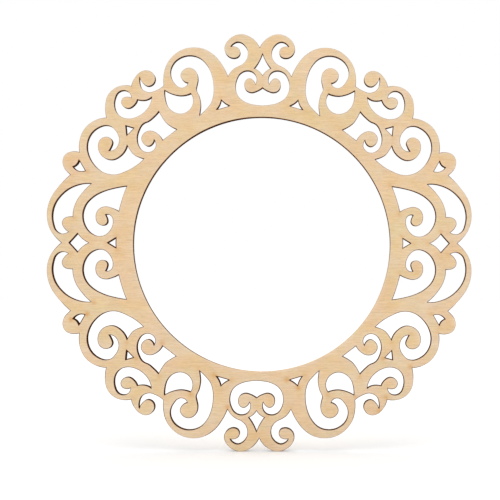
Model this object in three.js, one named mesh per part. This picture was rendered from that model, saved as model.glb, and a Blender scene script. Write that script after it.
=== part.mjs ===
// Oval wooden picture frame: a fretwork blank, laser-cut in one go through a sheet of three-ply
// birch plywood and left bare. Its separate pieces are the sheet's three veneers.
// Millimetres, X to the right, Z up. The front faces -Y and the origin is the middle of the sheet.

import * as THREE from "three";

// Driving dimensions
const frameWidth = 300;
const frameHeight = 294.9;
const openingWidth = 181.6;
const openingHeight = 180;
const openingRight = 1.65; // the opening was cut this far right of the ornament's middle
const openingBelow = 1.1; // and this far below it
const crestRight = 1.95; // the crest's two openings sit this far right of its curls
const frontThickness = 1;
const coreThickness = 1;
const backThickness = 1;
const facetSag = 0.65; // furthest that one of several facets may stray from a curved cut
const straightSag = 0.3; // a stretch that strays no further than this is one facet
const facetTurn = 46; // most degrees that a curved cut turns along one facet
const openingFacets = 52;
const frontColour = 0xe8c9a0;
const coreColour = 0x8a5f3c;
const backColour = 0xe3c298;
const bareWoodRoughness = 0.7;

// The frame for which the cutting lines below are drawn
const drawnWidth = 300;
const drawnHeight = 294.9;
const drawnOpeningWidth = 181.6;
const drawnOpeningHeight = 180;

// Cutting lines of the upper left quarter. A knot is [x, z, heading]: a place on the line and the way
// it runs there, in degrees from +X towards +Z. A corner is [x, z, heading in, heading out].

// The outer edge, from the notch in the crest down to the notch in the left side
const outerEdge = [
  [0, 138.1, 240, 120],
  [-12.8, 147.45, 180],
  [-21.1, 144.3, 222],
  [-24.9, 137.2, 270],
  [-18.2, 130.7, 0],
  [-13.8, 134.4, 90],
  [-17.6, 138.7, 178],
  [-20.5, 138.6, 188, 60],
  [-15.3, 142.2, 0],
  [-10.6, 139.6, 312],
  [-8.4, 134.4, 270],
  [-12.5, 126.1, 207],
  [-18.3, 123, 217],
  [-22.4, 117.7, 243, 110],
  [-31.6, 132.1, 134],
  [-46.8, 138, 180],
  [-61.3, 131.9, 226],
  [-67.9, 117.5, 270],
  [-67.8, 111, 273, 214],
  [-78, 106.3, 180],
  [-84.8, 113.4, 92],
  [-84.7, 117, 85, 295],
  [-79, 110.7, 0],
  [-73.8, 115.6, 90],
  [-80, 121.8, 180],
  [-88.2, 116.4, 238],
  [-90.6, 110.7, 262, 174],
  [-96, 111.1, 184],
  [-109, 97, 270],
  [-108.3, 88.3, 285, 187],
  [-121.7, 82.6, 228],
  [-127.4, 69.5, 270],
  [-127.2, 64, 274, 172],
  [-131.8, 64.4, 180],
  [-139, 57.6, 270],
  [-137.6, 52.2, 300],
  [-133.6, 48, 313, 223],
  [-150, 20.5, 270],
  [-147.6, 9, 299],
  [-140, 0, 320, 220],
];

// The two openings in the crest, each drawn as its left half with the crest's own axis at x = 0
const crestKite = [
  [0, 133.7, 108, 252],
  [-5.8, 123.3, 232, 335],
  [0, 118.4, 290, 70],
];

const crestScroll = [
  [0, 97.2, 180],
  [-10.4, 98.9, 163],
  [-19, 110, 90],
  [-10.8, 121.8, 0],
  [-4.2, 115.8, 268],
  [-4.8, 112.3, 250, 122],
  [-9, 116.4, 180],
  [-12.9, 111.8, 270],
  [-8.2, 106.4, 0],
  [0, 109.7, 35, 325],
];

// The ten openings of the quarter, from the crest round to the side
const crestWedge = [
  [-30.4, 94.25, 188, 48],
  [-27.1, 100.85, 80, 320],
  [-21.3, 96.9, 345, 192],
];

const commaScroll = [
  [-42.4, 90.1, 224, 86],
  [-41.6, 97, 91],
  [-43.2, 105.1, 112],
  [-44.7, 108.5, 90],
  [-43.5, 115.5, 90],
  [-49.5, 123.7, 180],
  [-55.9, 118, 270],
  [-50.7, 113, 345, 262],
  [-55.5, 109.6, 180],
  [-60.3, 113.1, 128],
  [-63, 120, 90],
  [-49.3, 132.4, 0],
  [-36.7, 124.7, 298],
  [-32.6, 110.5, 270],
  [-34.6, 98.6, 239],
];

const cup = [
  [-67.1, 107.7, 92, 330],
  [-55.5, 104, 0],
  [-48.7, 105.5, 22, 305],
  [-47, 100.5, 270],
  [-56, 91.3, 180],
  [-65, 96.8, 121],
];

const hookScroll = [
  [-76.2, 103, 88, 225],
  [-83, 100.6, 180],
  [-86.3, 101.1, 172, 240],
  [-92.6, 95, 180],
  [-97.8, 99.3, 90],
  [-94, 103.1, 0],
  [-90.7, 102.4, 345, 88],
  [-96.3, 107.6, 180],
  [-102.6, 97.5, 270],
  [-92.8, 87.7, 0],
  [-81.6, 92.3, 42],
];

const shoulderWedge = [
  [-94.35, 82.5, 91, 340],
  [-88.95, 80.95, 355, 229],
  [-93.7, 76, 226, 94],
];

const leafScroll = [
  [-71.2, 92.8, 48, 298],
  [-66.4, 85, 314],
  [-58.6, 80.1, 333, 218],
  [-68.4, 72.6, 219, 122],
  [-76.8, 79.2, 180],
  [-83.5, 73.8, 270],
  [-78.2, 68.3, 0],
  [-74.4, 72.8, 70, 285],
  [-73.3, 69.6, 270],
  [-78.8, 64, 180],
  [-86.5, 73.8, 90],
  [-82.3, 84.1, 50],
  [-79, 85.7, 30],
];

const ramScroll = [
  [-81.8, 59.3, 39, 160],
  [-89.1, 62.4, 138],
  [-93.5, 68.8, 118, 248],
  [-104.8, 58.5, 180],
  [-114.1, 68, 90],
  [-108.8, 74.8, 0],
  [-103.8, 71.2, 270],
  [-106.3, 65, 242, 352],
  [-99.2, 72.8, 90],
  [-102, 79.4, 128],
  [-107.6, 82.8, 180],
  [-121.8, 68, 270],
  [-116.1, 54.3, 312],
  [-103.6, 48.2, 0],
];

const lobeWedge = [
  [-127.4, 58.15, 118, 262],
  [-131.4, 53.6, 205, 305],
  [-125.65, 50.5, 0],
  [-123.3, 50.9, 30, 125],
];

const crescent = [
  [-118.8, 41.7, 42, 172],
  [-130.1, 40.2, 200],
  [-139.8, 33.9, 227],
  [-146.3, 20, 270],
  [-139, 6.4, 0],
  [-135, 7.7, 35, 142],
  [-139.4, 14, 90],
  [-137.1, 17.8, 33],
  [-131.9, 18.6, 5, 90],
  [-129.9, 28, 66],
];

const heartScroll = [
  [-93.8, 40, 68, 187],
  [-110, 36.4, 200],
  [-124.8, 19.3, 270],
  [-112.3, 4.7, 0],
  [-106.3, 7.9, 52],
  [-103.5, 14.8, 90],
  [-107, 20, 180],
  [-108.6, 19.8, 200, 300],
  [-107.2, 15, 268],
  [-111, 12.2, 180],
  [-115.7, 18, 90],
  [-109.3, 25.7, 0],
  [-99.4, 22.5, 332, 77],
];

// The two openings on the left side's axis, each drawn as its upper half
const sideDiamond = [
  [-134.35, 0, 138, 42],
  [-128.4, 6.55, 56, 302],
  [-120.7, 0, 335, 205],
];

const sideWedge = [
  [-106.85, 0, 152, 28],
  [-101.45, 3.3, 38, 265],
  [-101.65, 0, 270],
];

// A curve from one knot to the next. Its handles would make a true arc of an even bend.
function bend(start, end) {
  const from = new THREE.Vector2(start[0], start[1]);
  const to = new THREE.Vector2(end[0], end[1]);
  const headingOut = THREE.MathUtils.degToRad(start.at(-1));
  const headingIn = THREE.MathUtils.degToRad(end[2]);
  const turn = Math.atan2(Math.sin(headingIn - headingOut), Math.cos(headingIn - headingOut));
  const handle = from.distanceTo(to) / (3 * Math.cos(turn / 4) ** 2);
  const leave = new THREE.Vector2(Math.cos(headingOut), Math.sin(headingOut));
  const arrive = new THREE.Vector2(Math.cos(headingIn), Math.sin(headingIn));
  const first = from.clone().addScaledVector(leave, handle);
  const second = to.clone().addScaledVector(arrive, -handle);
  return new THREE.CubicBezierCurve(from, first, second, to);
}

// Points along a curve, enough to keep its facets within the sag and the turn. An arc that is cut into
// n facets strays from them by its turn times its length over 8 n squared.
function facets(curve) {
  const first = curve.v1.clone().sub(curve.v0);
  const middle = curve.v2.clone().sub(curve.v1);
  const last = curve.v3.clone().sub(curve.v2);
  const turn = first.angleTo(middle) + middle.angleTo(last);
  const sag = (turn * curve.getLength()) / 8;
  const countForBend = sag > straightSag ? 2 : 1;
  const countForSag = Math.ceil(Math.sqrt(sag / facetSag));
  const countForTurn = Math.ceil(THREE.MathUtils.radToDeg(turn) / facetTurn);
  return curve.getPoints(Math.max(countForBend, countForSag, countForTurn));
}

// The points of a line through its knots, which ends at its last knot
function openLine(knots) {
  const stretches = knots.slice(1).map((end, i) => facets(bend(knots[i], end)).slice(0, -1));
  const last = knots.at(-1);
  return [...stretches.flat(), new THREE.Vector2(last[0], last[1])];
}

// The points of a line that comes back to its first knot
function closedLine(knots) {
  return openLine([...knots, knots[0]]).slice(0, -1);
}

// A line and its mirror image joined at both ends, which lie on the mirror
function mirroredLine(knots, acrossX, acrossZ) {
  const half = openLine(knots);
  const image = half.slice(1, -1).reverse();
  return [...half, ...image.map((p) => new THREE.Vector2(p.x * acrossX, p.y * acrossZ))];
}

// A line put in its place: -1 mirrors it across the frame, and it may then move to the right
const placed = (points, acrossX, acrossZ, right = 0) =>
  points.map((p) => new THREE.Vector2(p.x * acrossX + right, p.y * acrossZ));

// How far out an oval's edge lies on the way from the middle through a point, counting the point as 1
const reach = (p, width, height) => 1 / Math.hypot(p.x / (width / 2), p.y / (height / 2));

// Fits the drawn ornament between the opening and the outer size that the frame is given. A point at
// the opening grows with the opening, one at the outer edge with the frame, and the rest in between.
function fitted(points) {
  return points.map((p) => {
    const inner = reach(p, drawnOpeningWidth, drawnOpeningHeight);
    const outer = reach(p, drawnWidth, drawnHeight);
    const share = THREE.MathUtils.clamp((1 - inner) / (outer - inner), 0, 1);
    const growX = THREE.MathUtils.lerp(openingWidth / drawnOpeningWidth, frameWidth / drawnWidth, share);
    const growZ = THREE.MathUtils.lerp(openingHeight / drawnOpeningHeight, frameHeight / drawnHeight, share);
    return new THREE.Vector2(p.x * growX, p.y * growZ);
  });
}

// The outer edge all round, against the clock: each quarter is the first or its mirror image
function outerLine() {
  const quarter = openLine(outerEdge).slice(0, -1);
  const back = openLine(outerEdge).slice(1).reverse();
  return [
    ...quarter,
    ...placed(back, 1, -1),
    ...placed(quarter, -1, -1),
    ...placed(back, -1, 1),
  ];
}

// The round cut that the picture shows through
function pictureOpening() {
  const oval = new THREE.EllipseCurve(openingRight, -openingBelow, openingWidth / 2, openingHeight / 2);
  return oval.getPoints(openingFacets).slice(0, -1);
}

// Every fretted opening in the drawing
function ornamentLines() {
  const lines = [];
  const quarter = [
    crestWedge,
    commaScroll,
    cup,
    hookScroll,
    shoulderWedge,
    leafScroll,
    ramScroll,
    lobeWedge,
    crescent,
    heartScroll,
  ];
  for (const side of [1, -1]) {
    for (const knots of [crestKite, crestScroll]) {
      lines.push(placed(mirroredLine(knots, -1, 1), side, side, side * crestRight));
    }
    for (const knots of [sideDiamond, sideWedge]) {
      lines.push(placed(mirroredLine(knots, 1, -1), side, 1));
    }
    for (const end of [1, -1]) {
      lines.push(...quarter.map((knots) => placed(closedLine(knots), side, end)));
    }
  }
  return lines;
}

// One sheet as the laser cuts it, lying in X and Z, from its front face back along +Y
function cutSheet(thickness, front) {
  const sheet = new THREE.Shape(fitted(outerLine()));
  const cuts = [pictureOpening(), ...ornamentLines().map(fitted)];
  sheet.holes = cuts.map((points) => new THREE.Path(points));
  const geometry = new THREE.ExtrudeGeometry(sheet, { depth: thickness, bevelEnabled: false });
  const upright = new THREE.Matrix4().makeBasis(
    new THREE.Vector3(1, 0, 0),
    new THREE.Vector3(0, 0, 1),
    new THREE.Vector3(0, -1, 0),
  );
  return geometry.applyMatrix4(upright).translate(0, front + thickness, 0);
}

// One of the plywood's veneers, glued face to face with the next
function veneer(name, thickness, front, colour) {
  const material = new THREE.MeshStandardMaterial({
    color: colour,
    roughness: bareWoodRoughness,
    metalness: 0,
  });
  const mesh = new THREE.Mesh(cutSheet(thickness, front), material);
  mesh.name = name;
  return mesh;
}

const frontFace = -(frontThickness + coreThickness + backThickness) / 2;
const coreFace = frontFace + frontThickness;
const backFace = coreFace + coreThickness;

const frame = new THREE.Group();
frame.add(veneer("front_veneer", frontThickness, frontFace, frontColour));
frame.add(veneer("core_veneer", coreThickness, coreFace, coreColour));
frame.add(veneer("back_veneer", backThickness, backFace, backColour));

export default frame;
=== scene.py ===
"""A round fretwork picture frame, cut by laser from one bare sheet of three-ply birch.

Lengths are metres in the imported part's own frame: +X is right, +Z is up and the front faces -Y.
"""
import math
from types import SimpleNamespace

import bpy
import numpy as np
from mathutils import Matrix, Vector
from mathutils.geometry import delaunay_2d_cdt


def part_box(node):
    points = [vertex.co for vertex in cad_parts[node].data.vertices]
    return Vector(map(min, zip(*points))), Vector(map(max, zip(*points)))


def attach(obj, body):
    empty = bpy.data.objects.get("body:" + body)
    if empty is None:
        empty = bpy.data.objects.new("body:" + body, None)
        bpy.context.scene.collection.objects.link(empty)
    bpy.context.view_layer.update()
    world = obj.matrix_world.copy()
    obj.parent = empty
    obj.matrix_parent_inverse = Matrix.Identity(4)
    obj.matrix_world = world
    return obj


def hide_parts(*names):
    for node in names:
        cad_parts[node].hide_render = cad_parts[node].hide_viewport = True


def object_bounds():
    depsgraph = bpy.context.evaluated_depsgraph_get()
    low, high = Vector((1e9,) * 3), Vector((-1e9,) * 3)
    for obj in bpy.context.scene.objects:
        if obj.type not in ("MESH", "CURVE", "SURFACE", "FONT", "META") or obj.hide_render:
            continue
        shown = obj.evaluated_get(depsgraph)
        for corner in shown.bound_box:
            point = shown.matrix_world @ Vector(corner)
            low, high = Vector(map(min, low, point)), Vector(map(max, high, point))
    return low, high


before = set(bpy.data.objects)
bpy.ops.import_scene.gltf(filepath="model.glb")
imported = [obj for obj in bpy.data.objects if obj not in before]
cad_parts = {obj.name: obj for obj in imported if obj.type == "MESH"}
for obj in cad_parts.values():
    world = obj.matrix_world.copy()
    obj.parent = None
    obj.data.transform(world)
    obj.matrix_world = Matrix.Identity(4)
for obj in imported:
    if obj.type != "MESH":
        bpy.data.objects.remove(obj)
cad_low, cad_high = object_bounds()

# The viewpoint
# The camera stands 490 mm in front of the frame, right of its middle and below it, nearly square on.
# The lens is shifted to keep the frame where it lies in the picture.
mm = 0.001
picture_side = 500
pixel = 0.70705 * mm
middle_across, middle_down = 259.5, 243.03
distance, right_by, below_by = 490 * mm, 29 * mm, 28 * mm
turn, nod, lean = (math.radians(angle) for angle in (0.29, 0.15, 0.09))
sensor = 36.0

camera = bpy.data.objects.new("camera", bpy.data.cameras.new("camera"))
camera.matrix_world = (
    Matrix.Translation((right_by, cad_low.y - distance, -below_by))
    @ Matrix.Rotation(-turn, 4, "Z")
    @ Matrix.Rotation(math.pi / 2 - nod, 4, "X")
    @ Matrix.Rotation(lean, 4, "Z")
)
camera.data.sensor_width = sensor
camera.data.lens = sensor * distance / (picture_side * pixel)
middle = camera.matrix_world.inverted() @ Vector((0, cad_low.y, 0))
middle = middle / -middle.z * camera.data.lens / sensor
camera.data.shift_x = middle.x + 0.5 - middle_across / picture_side
camera.data.shift_y = middle.y - 0.5 + middle_down / picture_side
bpy.context.scene.collection.objects.link(camera)
bpy.context.scene.camera = camera
bpy.context.scene.view_settings.view_transform = "Standard"

# The front veneer
# One millimetre of pale rotary-cut birch with its grain from left to right, sanded and left bare.
# A laser cuts all lines right through the sheet, chars the walls and toasts the face beside them.


def cutting_lines(veneer):
    """The laser's lines, read off a packed veneer as points x + iz with the wood on their left.

    They are the edges of its front face that only one triangle has. Returns the points and, for
    each one, the number of the point that follows it.
    """
    digits = 7
    flatness = 0.01 * mm
    mesh = veneer.data
    mesh.calc_loop_triangles()
    places = np.empty((len(mesh.vertices), 3), np.float32)
    mesh.vertices.foreach_get("co", places.ravel())
    corners = np.empty(len(mesh.loop_triangles) * 3, np.int32)
    mesh.loop_triangles.foreach_get("vertices", corners)
    spots, spot_of = np.unique(places.astype(float).round(digits), axis=0, return_inverse=True)
    faces = spot_of.ravel()[corners].reshape(-1, 3)
    facing = (spots[faces, 1] < spots[:, 1].min() + flatness).all(axis=1)
    edges = np.concatenate([faces[facing][:, pair] for pair in ([0, 1], [1, 2], [2, 0])])
    code = edges @ np.array([len(spots), 1])
    reverse_code = edges @ np.array([1, len(spots)])
    rim = edges[~np.isin(code, reverse_code)]
    rim = rim[np.argsort(rim[:, 0])]
    follow = np.searchsorted(rim[:, 0], rim[:, 1])
    return spots[rim[:, 0], 0] + 1j * spots[rim[:, 0], 2], follow


def rounded_lines(points, follow, longest, sharpest):
    """The curves that the laser ran along, put back through the points of the cutting lines.

    A point's heading is that of the circle through it and its two neighbours. A point where the
    line turns sharply is a real corner, and has two headings: on each side that of the circle
    through it and the next two points, or straight on to the next point if that is a corner too.
    Between points runs a cubic whose handles are chord / (3 cos^2(bend / 4)), which is a circle's
    arc for an even bend. It is cut into steps that are no longer than longest and that bend no more
    than sharpest.

    Returns the fine line, the number that follows each of its points, the unit direction into the
    wood, how many times as far a mitre reaches there, and the numbers of the corners.
    """
    surely_corner, maybe_corner, clear_jump = (math.radians(angle) for angle in (70, 50, 40))
    flattest_mitre = 0.6
    before = np.argsort(follow)
    ahead = points[follow] - points
    behind = ahead[before]
    turn = np.angle(ahead / behind)
    through = behind * ahead / (ahead + behind)
    leaving = ahead * (ahead + ahead[follow]) / ahead[follow]
    arriving = behind * (behind + behind[before]) / behind[before]
    jump = np.angle(leaving / arriving)
    corner = abs(turn) > surely_corner
    corner |= (abs(turn) > maybe_corner) & (abs(jump) > clear_jump)
    leaving = np.where(corner, np.where(corner[follow], ahead, leaving), through)
    arriving = np.where(corner, np.where(corner[before], behind, arriving), through)
    leaving = leaving / abs(leaving)
    arriving = arriving / abs(arriving)

    bend = abs(np.angle(arriving[follow] / leaving))
    handle = abs(ahead) / (3 * np.cos(bend / 4) ** 2)
    steps = np.ceil(np.maximum(abs(ahead) / longest, bend / sharpest)).astype(int)
    steps = np.maximum(steps, 1)
    first = np.cumsum(steps) - steps
    which = np.repeat(np.arange(len(points)), steps)
    t = (np.arange(len(which)) - first[which]) / steps[which]
    a = points[which]
    d = points[follow][which]
    b = a + (leaving * handle)[which]
    c = d - (arriving[follow] * handle)[which]
    line = (1 - t) ** 3 * a + 3 * (1 - t) ** 2 * t * b + 3 * (1 - t) * t**2 * c + t**3 * d
    heading = (1 - t) ** 2 * (b - a) + 2 * (1 - t) * t * (c - b) + t**2 * (d - c)
    line_follow = np.arange(len(which)) + 1
    line_follow[first + steps - 1] = first[follow]

    heading[first] = leaving + arriving
    inward = 1j * heading / abs(heading)
    mitre = np.ones(len(which))
    mitre[first] = 1 / np.maximum(abs(leaving + arriving) / 2, flattest_mitre)
    return SimpleNamespace(
        line=line, follow=line_follow, inward=inward, mitre=mitre, corners=first[corner]
    )


def room_inside(points, inward, block=256):
    """Radius of the largest disc that touches each point of the lines on its inward side.

    A disc that touches a point p along its inward direction n and just reaches another point q has
    the radius |q - p|^2 / (2 (q - p).n), so the room is the least of these over all q ahead of p.
    The point itself gets a metre more, so that it doesn't count. Blocks of points save memory.
    """
    hardly_ahead = 1e-9
    room = np.empty(len(points))
    for start in range(0, len(points), block):
        some = slice(start, start + block)
        reach = points - points[some, None]
        ahead = np.maximum((reach * inward[some, None].conj()).real, hardly_ahead)
        room[some] = (abs(reach) ** 2 / (2 * ahead) + (abs(reach) == 0)).min(axis=1)
    return room


def areas_within(points, follow):
    """Signed area inside each point's own line: above 0 for the outline and below 0 for a hole.

    It is half the sum of x dz - z dx along the line. A line is known by the least number of its
    points, found by looking on from each point by one step, then two, then four and so on.
    """
    least, onward = np.arange(len(points)), follow
    for _ in range(len(points).bit_length()):
        least, onward = np.minimum(least, least[onward]), onward[onward]
    return (np.bincount(least, (points.conj() * points[follow]).imag, len(points)) / 2)[least]


def wood_near(corners, points, inward, reach, apart, clear, block=256):
    """Points of the bare wood on a square grid: within reach of a corner, and clear of every line.

    A grid point is in the wood if the way to it from the nearest point of the lines leads inward.
    """
    x = np.arange(points.real.min(), points.real.max(), apart)
    z = np.arange(points.imag.min(), points.imag.max(), apart)
    grid = (x + 1j * z[:, None]).ravel()
    grid = grid[abs(grid[:, None] - corners).min(axis=1) < reach]
    kept = []
    for start in range(0, len(grid), block):
        some = grid[start:start + block]
        away = some[:, None] - points
        nearest = abs(away).argmin(axis=1)
        away = away[np.arange(len(some)), nearest]
        kept.append(some[(abs(away) > clear) & ((away * inward[nearest].conj()).real > 0)])
    return np.concatenate(kept)


def flat_fill(ring, follow, inner):
    """Triangles that fill the wood between closed lines in one plane, with holes left open.

    They join the lines' points and the inner points, numbered on from them. A triangle of the
    constrained Delaunay net is wood if all its corners are inner points or if, at its first corner,
    it lies between the line's way onward and its way back, counted anticlockwise.
    """
    within_lines, tolerance = 1, 1e-6
    spots = np.concatenate([ring, inner])
    flat = np.stack([spots.real, spots.imag], axis=1) / mm
    edges = np.stack([np.arange(len(ring)), follow], axis=1)
    net = delaunay_2d_cdt(flat.tolist(), edges.tolist(), [], within_lines, tolerance)
    faces = np.array(net[2])
    first = faces.min(axis=1)
    at = np.minimum(first, len(ring) - 1)
    onward = ring[follow] - ring
    back = ring[np.argsort(follow)] - ring
    middle = spots[faces].mean(axis=1) - ring[at]
    opens = np.angle(middle / onward[at]) % (2 * math.pi)
    wedge = np.angle(back[at] / onward[at]) % (2 * math.pi)
    return faces[(first >= len(ring)) | (opens < wedge)]


def eased(value, low, high):
    """0 up to low, 1 from high, and 3t^2 - 2t^3 between them."""
    t = np.clip((value - low) / (high - low), 0, 1)
    return t * t * (3 - 2 * t)


def burn_along(cut):
    """What the beam did at each point of the cutting lines, by the sums in the comments below.

    Returns how far the burn spreads over the face, how black the wall is, how much tighter the cut
    is, the extra heat of a small hole, and how many times as wide the burnt rim is. Height goes
    from 0 at the foot of the sheet to 1 at its top, and left from 0 at its right to 1 at its left.
    """
    across, up = cut.line.real, cut.line.imag
    height = (up - up.min()) / np.ptp(up)
    left = (across.max() - across) / np.ptp(across)
    area = areas_within(cut.line, cut.follow)
    outline, opening = area == area.max(), area == area.min()

    # The beam slows down at a corner. Its heat is 1 there and fades as exp(-distance / 3.5 mm).
    corner_fade = 3.5 * mm
    to_corner = abs(cut.line[:, None] - cut.line[cut.corners]).min(axis=1)
    corner_heat = np.exp(-to_corner / corner_fade)

    # The smoke is drawn off downwards and to the left, and blends between the sheet's four corners.
    foot_left, foot_right, top_left, top_right = 1.6, 1.1, -0.1, 0.1
    foot = foot_right + (foot_left - foot_right) * left
    top = top_right + (top_left - top_right) * left
    smoke = foot + (top - foot) * height

    # A small hole is cut before its wood can cool, and is hottest on the left and low down.
    small_hole, plain_hole = 25 * mm**2, 60 * mm**2
    right_share, loss_at_top = 0.2, 0.6
    small = 1 - eased(abs(area), small_hole, plain_hole)
    cooler = 1 - loss_at_top * eased(height, 0.5, 0.8)
    heat = small * np.clip(right_share + left, 0, 1) * cooler

    # The burn is the sum of these. It is weaker where a wide hole lets the smoke out, and stronger
    # on wood above a cut of the fretwork, most at the foot.
    corner_share, small_share, most = 0.75, 1.4, 1.4
    narrow, wide, loss_if_wide = 5 * mm, 12 * mm, 0.65
    above_more = 0.7
    wood_above = np.where(outline, 0, np.clip(cut.inward.imag, 0, 1) ** 2)
    spread = np.clip(corner_share * corner_heat + smoke, 0, most) + small_share * heat
    spread = spread * (1 - loss_if_wide * eased(cut.air, narrow, wide))
    spread = spread * (1 + above_more * wood_above * (1 - height))

    # The opening's top is burnt, more on the left, and most where the beam first pierced the sheet.
    # Along its foot the face is left unburnt.
    rim_right, rim_left, pierced_more = 0.74, 1.1, 0.3
    pierced_at, pierced_near, pierced_far = complex(-29, 84) * mm, 14 * mm, 26 * mm
    pierced = opening * (1 - eased(abs(cut.line - pierced_at), pierced_near, pierced_far))
    rim = rim_right + (rim_left - rim_right) * eased(left, 0.44, 0.56) + pierced_more * pierced
    spread = np.where(opening, rim * eased(height, 0.4, 0.7), spread)

    # Its wall is painted paler below the middle and bare at the foot, where it faces up: painted
    # light, as on a wall lit from above. The black reaches further down on the left.
    # Painted light: the opening's wall below the middle is painted paler, as if lit from above.
    left_further, painted_light_below = 0.6, 0.28
    paler = painted_light_below * (1 - eased(height, 0.42, 0.5))
    black = np.where(opening, eased(height + left_further * left, 0.44, 0.68) * (1 - paler), 1.0)

    # The fretwork's cuts are tighter low down, where the beam was less well focused, but the small
    # holes on the right hardly are.
    tighter_at_foot, wider_at_top, right_loss = 0.2 * mm, 0.04 * mm, 0.8
    tighter = tighter_at_foot - (tighter_at_foot + wider_at_top) * eased(height, 0.25, 0.6)
    tighter = np.where(outline | opening, 0, tighter) * (1 - right_loss * small * (1 - left))

    # The burnt rim is wider round a hot small hole, where the opening was pierced, and on wood left
    # of a cut, most at the lower left.
    small_wider, pierced_wider, left_wider = 0.55, 0.38, 0.65
    wood_on_left = np.clip(-cut.inward.real, 0, 1)
    wider = 1 + small_wider * heat + left_wider * wood_on_left * left * (1 - height)
    wider = wider + pierced_wider * pierced
    return SimpleNamespace(spread=spread, black=black, tighter=tighter, heat=heat, wider=wider)


def stain_at(points, cut, burn):
    """How strongly the heat has drawn resin out at points of the face: an orange spot past a corner.

    Each spot lies 1.6 mm past its corner and fades as exp(-(distance / 1.8 mm)^2). Its strength is
    the square of a random draw, times 1.2 at the foot of the sheet down to 0.3 at its top, and 0.7
    times the draw more in a hot small hole.
    """
    past_corner, fade = 1.6 * mm, 1.8 * mm
    at_foot, at_top, small_share = 1.2, 0.3, 0.7
    spots = cut.line[cut.corners] + past_corner * cut.inward[cut.corners]
    draw = np.random.default_rng(7).uniform(0, 1, len(spots))
    height = (spots.imag - cut.line.imag.min()) / np.ptp(cut.line.imag)
    strength = draw**2 * (at_foot + (at_top - at_foot) * height)
    strength = strength + small_share * draw * burn.heat[cut.corners]
    return (strength * np.exp(-(abs(points[:, None] - spots) / fade) ** 2)).max(axis=1)


def veneer_piece(name, box, cut, burn, front_edge, rear_edge, front_inner, rear_inner, finishes):
    """A closed veneer: its edge carried along every cutting line, with both faces filled.

    An edge is rows of inset from the cutting line, depth from its face, and how much of the wall's
    black and of the burn's spread scorch that row. The rows run from the front face over the wall
    to the rear face. Insets of up to 0.3 mm widen with the burnt rim, those from 1.2 mm don't, and
    all move out where the cut is tighter. Each reach x is then softened as
    x / (1 + (x / h)^3)^(1/3), where h is half the room in the wood, so that no two rows meet.
    The wood has dried along the cuts: fully at the line and not at all 1.9 mm from it. The faces
    take the first finish, and the strips of wall, under 0.1 mm from the line, the second.
    """
    widened, not_widened = 0.3 * mm, 1.2 * mm
    softness = 3
    dry_reach = 1.9 * mm
    wall_reach = 0.1 * mm
    sharp_edge = math.radians(50)

    low, high = box
    rows = [(inset, low.y + deep, *shares) for inset, deep, *shares in front_edge]
    rows += [(inset, high.y - deep, *shares) for inset, deep, *shares in reversed(rear_edge)]
    inset, depth, of_black, of_spread = (np.array(column)[:, None] for column in zip(*rows))
    widening = 1 + (burn.wider - 1) * (1 - eased(inset, widened, not_widened))
    reach = (inset * widening - burn.tighter) * cut.mitre
    crowding = np.maximum(reach, 0) / (cut.room / 2)
    across = cut.line + cut.inward * reach / (1 + crowding**softness) ** (1 / softness)
    levels, around = across.shape

    inner = np.concatenate([front_inner, rear_inner])
    flat = np.concatenate([across.ravel(), inner])
    deep = np.repeat(
        np.concatenate([depth.ravel(), depth[0], depth[-1]]),
        [around] * levels + [len(front_inner), len(rear_inner)],
    )
    no_burn = np.zeros(len(inner))
    scorch = of_black * burn.black + of_spread * burn.spread
    dry = np.clip(1 - abs(across - cut.line) / dry_reach, 0, 1)
    attributes = {
        "scorch": np.concatenate([scorch.ravel(), no_burn]),
        "dry": np.concatenate([dry.ravel(), no_burn]),
        "stain": stain_at(flat, cut, burn),
    }

    number = np.arange(levels * around).reshape(levels, around)
    upper, lower = number[:-1], number[1:]
    strips = np.stack([upper, lower, lower[:, cut.follow], upper[:, cut.follow]], axis=-1)
    front = flat_fill(across[0], cut.follow, front_inner)
    front += (front >= around) * (levels - 1) * around
    rear = flat_fill(across[-1], cut.follow, rear_inner)[:, ::-1] + number[-1, 0]
    rear += (rear >= levels * around) * len(front_inner)
    faces = strips.reshape(-1, 4).tolist() + front.tolist() + rear.tolist()
    is_wall = np.zeros(len(faces), np.int32)
    is_wall[:strips[..., 0].size] = np.repeat(np.maximum(inset[:-1], inset[1:]) < wall_reach, around)

    mesh = bpy.data.meshes.new(name)
    mesh.from_pydata(np.stack([flat.real, deep, flat.imag], axis=-1), [], faces)
    mesh.polygons.foreach_set("material_index", is_wall)
    for label, value in attributes.items():
        layer = mesh.attributes.new(label, "FLOAT", "POINT")
        layer.data.foreach_set("value", value.astype(np.float32))
    mesh.shade_smooth()
    mesh.set_sharp_from_angle(angle=sharp_edge)
    for finish in finishes:
        mesh.materials.append(finish)
    piece = bpy.data.objects.new(name, mesh)
    bpy.context.scene.collection.objects.link(piece)
    return piece


def linear(code):
    """An sRGB hex colour as linear red, green, blue and alpha."""
    parts = (int(code[i:i + 2], 16) / 255 for i in (1, 3, 5))
    return (*(p / 12.92 if p <= 0.04045 else ((p + 0.055) / 1.055) ** 2.4 for p in parts), 1.0)


def node(tree, kind, inputs=(), **settings):
    """Adds a node. Inputs go by name or number and are values, or sockets to link from.

    A Map Range takes its value at 0, the range that it has at 1 and 2 and the range that it gets
    at 3 and 4. A colour Mix takes its share at 0 and its colours at 6 and 7, and gives output 2.
    """
    made = tree.nodes.new(kind)
    for key, value in settings.items():
        setattr(made, key, value)
    for key, value in dict(inputs).items():
        if isinstance(value, bpy.types.NodeSocket):
            tree.links.new(value, made.inputs[key])
        else:
            made.inputs[key].default_value = value
    return made


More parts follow.
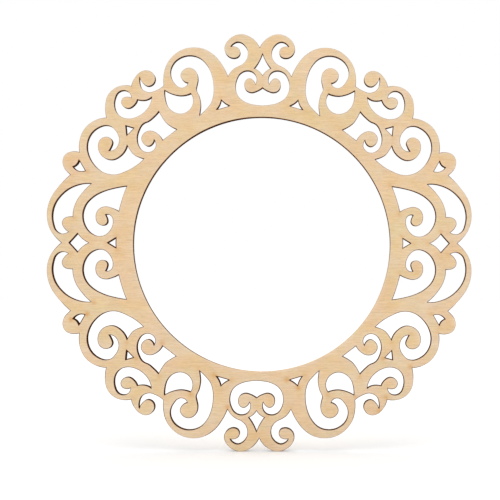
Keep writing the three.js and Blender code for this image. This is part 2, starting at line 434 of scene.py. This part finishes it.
def grain(tree, long, wide, deep, start, detail=2.0, rough=0.5, warp=0.0):
    """Noise whose marks are about that long along X, wide along Z and deep along Y, in metres.

    The start moves the pattern, in marks, so that no two veneers are alike.
    """
    place = node(tree, "ShaderNodeTexCoord").outputs["Object"]
    scale = (1 / long, 1 / deep, 1 / wide)
    sized = node(tree, "ShaderNodeMapping", {"Vector": place, "Location": start, "Scale": scale})
    marks = node(tree, "ShaderNodeTexNoise", {
        "Vector": sized.outputs[0], "Scale": 1.0,
        "Detail": detail, "Roughness": rough, "Distortion": warp,
    })
    return marks.outputs[0]


def sanded_birch(name, start):
    """Bare birch, sanded smooth: pale, even and matt, with short fine flecks along the grain.

    Its cream drifts from pinkish to yellowish, in richer and poorer patches, and is poorer where it
    has dried along the cuts. The tones of the marks multiply it, and so does painted light that makes
    it a shade darker towards the foot and paler towards the top. Then come the resin drawn out past
    some corners, the toasted line along each cut and the burnt edge, which the piece's stain and
    scorch attributes place and which flare a little more or less from lick to lick of the flame.
    """
    pinkish, yellowish = linear("#efcca8"), linear("#ead1a3")
    resin, toasted, burnt = linear("#dfb077"), linear("#a8703a"), linear("#4a2302")
    poor, rich, dried = 0.87, 1.15, 0.8
    painted_shade_at_foot, painted_light_at_top = 0.98, 1.018
    mix = {"data_type": "RGBA"}
    times = {"operation": "MULTIPLY"}
    material = bpy.data.materials.new(name)
    material.use_nodes = True
    tree = material.node_tree
    shader = tree.nodes["Principled BSDF"]

    # Real sizes: bands of a growth ring cut nearly flat, 14 mm wide, and patches of sap, 16 mm wide.
    # Vessel lines are 0.1 to 0.3 mm wide and pores under 0.1 mm, too fine to show, so the flecks
    # and lines are drawn about a millimetre wide and the pores 0.16 mm wide.
    bands = grain(tree, 120 * mm, 14 * mm, 60 * mm, start, 3.0, 0.6, 0.4)
    flecks = grain(tree, 12 * mm, 0.8 * mm, 20 * mm, start, 3.0, 0.7)
    lines = grain(tree, 16 * mm, 1.1 * mm, 20 * mm, start, 1.0)
    pores = grain(tree, 2.4 * mm, 0.16 * mm, 4 * mm, start, 1.0)
    drift = grain(tree, 60 * mm, 36 * mm, 60 * mm, start, 4.0, 0.8)
    sap = grain(tree, 26 * mm, 16 * mm, 26 * mm, start, 3.0, 0.7)
    licks = grain(tree, 7 * mm, 7 * mm, 7 * mm, start, 2.0)

    blush = node(tree, "ShaderNodeMapRange", {0: drift, 1: 0.3, 2: 0.7})
    cream = node(tree, "ShaderNodeMix", {0: blush.outputs[0], 6: pinkish, 7: yellowish}, **mix)
    sappy = node(tree, "ShaderNodeMapRange", {0: sap, 1: 0.3, 2: 0.7, 3: poor, 4: rich})
    dry = node(tree, "ShaderNodeAttribute", attribute_name="dry").outputs["Fac"]
    faded = node(tree, "ShaderNodeMapRange", {0: dry, 3: 1.0, 4: dried})
    full = node(tree, "ShaderNodeMath", {0: sappy.outputs[0], 1: faded.outputs[0]}, **times)
    hue = node(tree, "ShaderNodeHueSaturation",
               {"Color": cream.outputs[2], "Saturation": full.outputs[0]})

    # Painted light: the face is painted a shade darker towards the foot and paler towards the top, as
    # if lit from above.
    place = node(tree, "ShaderNodeTexCoord").outputs["Object"]
    height = node(tree, "ShaderNodeSeparateXYZ", {0: place}).outputs["Z"]
    tone = node(tree, "ShaderNodeMapRange",
                {0: height, 1: cad_low.z, 2: cad_high.z, 3: painted_shade_at_foot, 4: painted_light_at_top})
    for marks, low, high, tone_at_low, tone_at_high in (
        (bands, 0.25, 0.75, 0.97, 1.03),
        (flecks, 0.25, 0.75, 0.88, 1.12),
        (lines, 0.58, 0.75, 1.00, 0.93),
        (pores, 0.55, 0.70, 1.01, 0.86),
    ):
        part = node(tree, "ShaderNodeMapRange",
                    {0: marks, 1: low, 2: high, 3: tone_at_low, 4: tone_at_high})
        tone = node(tree, "ShaderNodeMath", {0: tone.outputs[0], 1: part.outputs[0]}, **times)
    colour = node(tree, "ShaderNodeMix", {0: 1.0, 6: hue.outputs[0], 7: tone.outputs[0]},
                  blend_type="MULTIPLY", **mix)

    flare = node(tree, "ShaderNodeMapRange", {0: licks, 1: 0.3, 2: 0.7, 3: 0.75, 4: 1.15})
    stain = node(tree, "ShaderNodeAttribute", attribute_name="stain").outputs["Fac"]
    seep = node(tree, "ShaderNodeMath", {0: stain, 1: flare.outputs[0]}, **times)
    scorch = node(tree, "ShaderNodeAttribute", attribute_name="scorch").outputs["Fac"]
    singe = node(tree, "ShaderNodeMath", {0: scorch, 1: flare.outputs[0]}, **times)
    toasting = node(tree, "ShaderNodeMapRange", {0: singe.outputs[0], 1: 0.0, 2: 0.6})
    burning = node(tree, "ShaderNodeMapRange", {0: singe.outputs[0], 1: 0.45, 2: 0.85})
    for share, layer in ((seep, resin), (toasting, toasted), (burning, burnt)):
        colour = node(tree, "ShaderNodeMix",
                      {0: share.outputs[0], 6: colour.outputs[2], 7: layer}, **mix)
    tree.links.new(colour.outputs[2], shader.inputs["Base Color"])

    matt = node(tree, "ShaderNodeMapRange", {0: flecks, 1: 0.2, 2: 0.8, 3: 0.72, 4: 0.6})
    tree.links.new(matt.outputs[0], shader.inputs["Roughness"])
    relief = node(tree, "ShaderNodeBump",
                  {"Strength": 0.25, "Distance": 0.05 * mm, "Height": flecks})
    tree.links.new(relief.outputs[0], shader.inputs["Normal"])
    shader.inputs["IOR"].default_value = 1.5
    shader.inputs["Specular IOR Level"].default_value = 0.05
    return material


def laser_char(name, start, dark, pale):
    """Birch cut by a laser: brown-black char, matt as soot, with fine striae square to the sheet.

    The striae mix the dark char with the pale, more in some patches than in others. Where the
    scorch attribute is low the wall is painted a pale brown: painted light, as on the opening's lower
    wall that faces up to the light.
    """
    painted_lit_wall = linear("#dcb684")
    mix = {"data_type": "RGBA"}
    material = bpy.data.materials.new(name)
    material.use_nodes = True
    tree = material.node_tree
    shader = tree.nodes["Principled BSDF"]

    # Real striae are about 0.2 mm apart, and are drawn 0.35 mm apart so that they show.
    striae = grain(tree, 0.35 * mm, 0.35 * mm, 6 * mm, start, 2.0)
    patches = grain(tree, 9 * mm, 9 * mm, 9 * mm, start, 2.0)
    stripe = node(tree, "ShaderNodeMapRange", {0: striae, 1: 0.35, 2: 0.65})
    share = node(tree, "ShaderNodeMapRange", {0: patches, 1: 0.3, 2: 0.7, 3: 0.45, 4: 1.0})
    paler = node(tree, "ShaderNodeMath", {0: stripe.outputs[0], 1: share.outputs[0]},
                 operation="MULTIPLY")
    char = node(tree, "ShaderNodeMix",
                {0: paler.outputs[0], 6: linear(dark), 7: linear(pale)}, **mix)
    scorch = node(tree, "ShaderNodeAttribute", attribute_name="scorch").outputs["Fac"]
    black = node(tree, "ShaderNodeMapRange", {0: scorch, 1: 0.1, 2: 0.8})
    # Painted light: where the scorch is low, as low on the opening, the wall is painted pale as if
    # lit from above.
    colour = node(tree, "ShaderNodeMix",
                  {0: black.outputs[0], 6: painted_lit_wall, 7: char.outputs[2]}, **mix)
    tree.links.new(colour.outputs[2], shader.inputs["Base Color"])
    relief = node(tree, "ShaderNodeBump",
                  {"Strength": 0.4, "Distance": 0.05 * mm, "Height": striae})
    tree.links.new(relief.outputs[0], shader.inputs["Normal"])
    shader.inputs["Roughness"].default_value = 0.95
    shader.inputs["Specular IOR Level"].default_value = 0.05
    return material


longest_step, sharpest_step = 0.9 * mm, math.radians(7.5)
cut = rounded_lines(
    *cutting_lines(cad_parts["front_veneer"]), longest_step, sharpest_step
)
cut.room = room_inside(cut.line, cut.inward)
cut.air = room_inside(cut.line, -cut.inward)
burn = burn_along(cut)
bare_wood = wood_near(
    cut.line[cut.corners], cut.line, cut.inward, reach=6 * mm, apart=1.2 * mm, clear=2.2 * mm
)
no_points = bare_wood[:0]

# The edge of a free face, from the bare wood over the burnt rim to the wall, and that of a glued one.
# Each row is inset, depth, how much of the wall's black and how much of the burn's spread it takes.
burnt_edge = [
    (1.90 * mm, 0.00 * mm, 0.0, 0.00),
    (1.20 * mm, 0.00 * mm, 0.0, 0.00),
    (0.75 * mm, 0.00 * mm, 0.0, 0.00),
    (0.45 * mm, 0.00 * mm, 0.0, 0.05),
    (0.24 * mm, 0.00 * mm, 0.0, 0.68),
    (0.06 * mm, 0.03 * mm, 0.3, 0.65),
    (0.00 * mm, 0.10 * mm, 1.0, 0.00),
]
glued_edge = [
    (0.05 * mm, 0.00 * mm, 1.0, 0.00),
    (0.00 * mm, 0.05 * mm, 1.0, 0.00),
]
front_figure = (0.0, 0.0, 0.0)
face_char = ("#1c0b00", "#663604")
front_finishes = [
    sanded_birch("sanded birch", front_figure),
    laser_char("laser char on birch", front_figure, *face_char),
]
front_veneer = veneer_piece(
    "front_veneer_birch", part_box("front_veneer"), cut, burn,
    burnt_edge, glued_edge, bare_wood, no_points, front_finishes,
)
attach(front_veneer, "root")
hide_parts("front_veneer")

# The core veneer
# The middle millimetre of birch, glued with its grain up and down so that the sheet stays flat.
# Only its cut wall shows, charred between two dark glue lines.
core_figure = (0.4, 0.7, 0.2)
core_char = ("#180900", "#562e04")
core_finish = laser_char("laser char on end grain", core_figure, *core_char)
core_veneer = veneer_piece(
    "core_veneer_birch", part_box("core_veneer"), cut, burn,
    glued_edge, glued_edge, no_points, no_points, [core_finish, core_finish],
)
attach(core_veneer, "root")
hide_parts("core_veneer")

# The back veneer
# A second birch face like the front one, from another part of the log, so its figure differs.
# The laser leaves the sheet here, with the same char on the walls.
back_figure = (3.7, 1.3, 5.1)
back_finishes = [
    sanded_birch("sanded birch back", back_figure),
    laser_char("laser char on birch back", back_figure, *face_char),
]
back_veneer = veneer_piece(
    "back_veneer_birch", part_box("back_veneer"), cut, burn,
    glued_edge, burnt_edge, no_points, bare_wood, back_finishes,
)
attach(back_veneer, "root")
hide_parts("back_veneer")

# The floor and the light
# The frame stands on a plain white floor in an even white room, with one broad lamp high in front.
# For the camera the room is plain white and the floor is lifted to white where nothing shades it.
room_light = 0.88
lamp_level = 0.8
lamp_rise = math.radians(82)
lamp_turn = math.radians(-20)
lamp_spread = math.radians(50)
floor_half = 4.0
floor_lift = 0.12
plain_white = (1, 1, 1, 1)


def seen_directly(tree):
    """1 for rays that the camera sees, straight or in gloss or glass, and 0 for light on things."""
    rays = node(tree, "ShaderNodeLightPath").outputs
    seen = node(tree, "ShaderNodeMath", {0: rays["Is Camera Ray"], 1: rays["Is Glossy Ray"]},
                operation="MAXIMUM")
    return node(tree, "ShaderNodeMath", {0: seen.outputs[0], 1: rays["Is Transmission Ray"]},
                operation="MAXIMUM").outputs[0]


world = bpy.data.worlds.new("white room")
bpy.context.scene.world = world
world.use_nodes = True
sky = world.node_tree
sky.nodes.clear()
lit = node(sky, "ShaderNodeBackground", {"Color": plain_white, "Strength": room_light})
white = node(sky, "ShaderNodeBackground", {"Color": plain_white, "Strength": 1.0})
either = node(sky, "ShaderNodeMixShader",
              {0: seen_directly(sky), 1: lit.outputs[0], 2: white.outputs[0]})
node(sky, "ShaderNodeOutputWorld", {"Surface": either.outputs[0]})

lamp = bpy.data.objects.new("lamp", bpy.data.lights.new("lamp", "SUN"))
lamp.data.energy = lamp_level
lamp.data.angle = lamp_spread
lamp.rotation_euler = (math.pi / 2 - lamp_rise, 0, lamp_turn)
bpy.context.scene.collection.objects.link(lamp)

floor_mesh = bpy.data.meshes.new("floor")
ends = (-floor_half, floor_half)
floor_mesh.from_pydata([(x, y, cad_low.z) for y in ends for x in ends], [], [(0, 1, 3, 2)])
floor = bpy.data.objects.new("floor", floor_mesh)
bpy.context.scene.collection.objects.link(floor)

# Flat white paint has no gloss, so the frame's soft shadow is all that shows on it.
paint = bpy.data.materials.new("white floor paint")
paint.use_nodes = True
coat = paint.node_tree
coat.nodes.clear()
matt_white = node(coat, "ShaderNodeBsdfDiffuse", {"Color": linear("#f0f0f0")})
lift = node(coat, "ShaderNodeMath", {0: seen_directly(coat), 1: floor_lift}, operation="MULTIPLY")
glow = node(coat, "ShaderNodeEmission", {"Color": plain_white, "Strength": lift.outputs[0]})
both = node(coat, "ShaderNodeAddShader", {0: matt_white.outputs[0], 1: glow.outputs[0]})
node(coat, "ShaderNodeOutputMaterial", {"Surface": both.outputs[0]})
floor.data.materials.append(paint)
